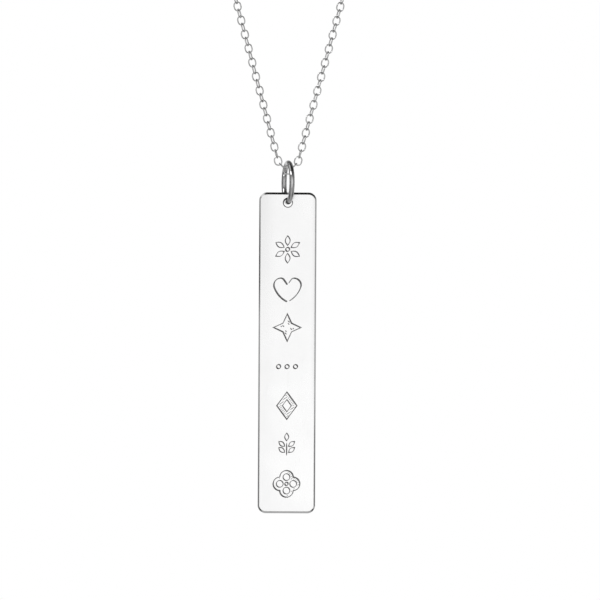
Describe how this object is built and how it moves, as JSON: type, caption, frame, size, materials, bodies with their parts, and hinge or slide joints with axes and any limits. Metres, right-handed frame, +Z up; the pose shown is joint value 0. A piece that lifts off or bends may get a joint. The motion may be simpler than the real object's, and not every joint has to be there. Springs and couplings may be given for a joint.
{
  "type": "nameplate necklace",
  "caption": "Tall engraved silver bar hanging on a round jump ring from a fine cable chain necklace with a ring clasp.",
  "frame": {"origin": "middle of the clasp behind the neck, where the necklace hangs", "axes": "+X to the right of someone who looks at the bar's engraved face, +Y from the chest to the nape, +Z up"},
  "size_m": [0.1036, 0.0953, 0.2574],
  "materials": {
    "plate_silver": "polished silver, lightly satin on the face",
    "ring_silver": "polished silver wire",
    "chain_silver": "polished silver links",
    "clasp_silver": "polished silver"
  },
  "bodies": {
    "chain": {"chain_front": "chain_silver", "chain_back": "chain_silver", "clasp": "clasp_silver", "clasp_ring": "clasp_silver"},
    "ring": {"jump_ring": "ring_silver"},
    "bar": {"bar_plate": "plate_silver"}
  },
  "joints": [
    {"name": "ring_swing", "type": "hinge", "parent": "chain", "child": "ring", "pos_m": [0, -0.09073, -0.21143], "axis": [1, 0, 0], "range_deg": [-45, 45]},
    {"name": "bar_swing", "type": "hinge", "parent": "ring", "child": "bar", "pos_m": [0, -0.09073, -0.2159], "axis": [0, 1, 0], "range_deg": [-60, 60]}
  ]
}
